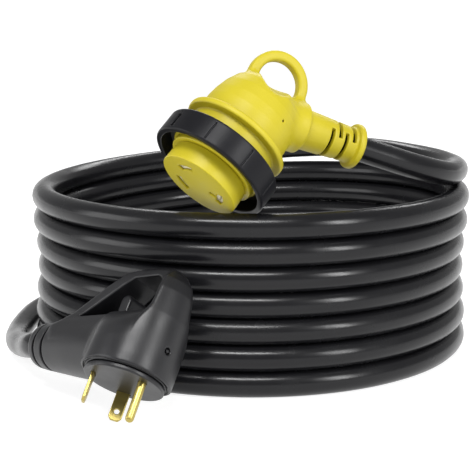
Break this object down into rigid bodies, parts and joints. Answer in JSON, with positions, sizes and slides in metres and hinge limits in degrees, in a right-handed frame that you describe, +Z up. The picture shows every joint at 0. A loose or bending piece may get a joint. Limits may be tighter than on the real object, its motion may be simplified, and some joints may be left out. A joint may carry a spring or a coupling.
{
  "type": "shore power cord",
  "caption": "Travel-trailer shore power cord: finger-grip plug, heavy cable wound in a tall round coil, and an angled locking connector with a sliding, turning ring.",
  "frame": {"origin": "on the floor under the middle of the plug and connector, measured without the cable", "axes": "+Z up; +Y from the side where the plug and connector lie towards the back of the coil; +X to the side where the cable joins the coil's top turn"},
  "size_m": [0.3475, 0.4176, 0.2226],
  "materials": {
    "connector_pvc": "satin moulded yellow PVC",
    "plug_pvc": "satin moulded black PVC",
    "cable_jacket": "semi-gloss black PVC jacket",
    "ring_plastic": "satin black nylon",
    "contact_brass": "bright stamped brass",
    "seal_rubber": "matte black rubber",
    "wire_green": "green insulation",
    "wire_white": "white insulation",
    "wire_black": "black insulation"
  },
  "bodies": {
    "cord_set": {"plug_body": "plug_pvc", "plug_face": "plug_pvc", "plug_blade_hot": "contact_brass", "plug_blade_neutral": "contact_brass", "plug_ground_pin": "contact_brass", "plug_wire_ground": "wire_green", "plug_wire_neutral": "wire_white", "plug_wire_hot": "wire_black", "plug_jacket_end": "cable_jacket", "connector_body": "connector_pvc", "connector_nose": "connector_pvc", "connector_contact_ground": "contact_brass", "connector_contact_neutral": "contact_brass", "connector_contact_hot": "contact_brass", "connector_wire_ground": "wire_green", "connector_wire_neutral": "wire_white", "connector_wire_hot": "wire_black", "connector_jacket_end": "cable_jacket", "cord_coil": "cable_jacket", "cord_connector_lead": "cable_jacket", "cord_plug_lead": "cable_jacket"},
    "ring_carrier": {"ring_seal": "seal_rubber"},
    "locking_ring": {"locking_ring": "ring_plastic"}
  },
  "joints": [
    {"name": "ring_slide", "type": "slide", "parent": "cord_set", "child": "ring_carrier", "axis": [0.5682, 0.4655, 0.6786], "range_m": [-0.0022, 0.0104]},
    {"name": "ring_turn", "type": "hinge", "parent": "ring_carrier", "child": "locking_ring", "pos_m": [0.00021, 0.00703, 0.13925], "axis": [0.5682, 0.4655, 0.6786], "continuous": true}
  ]
}
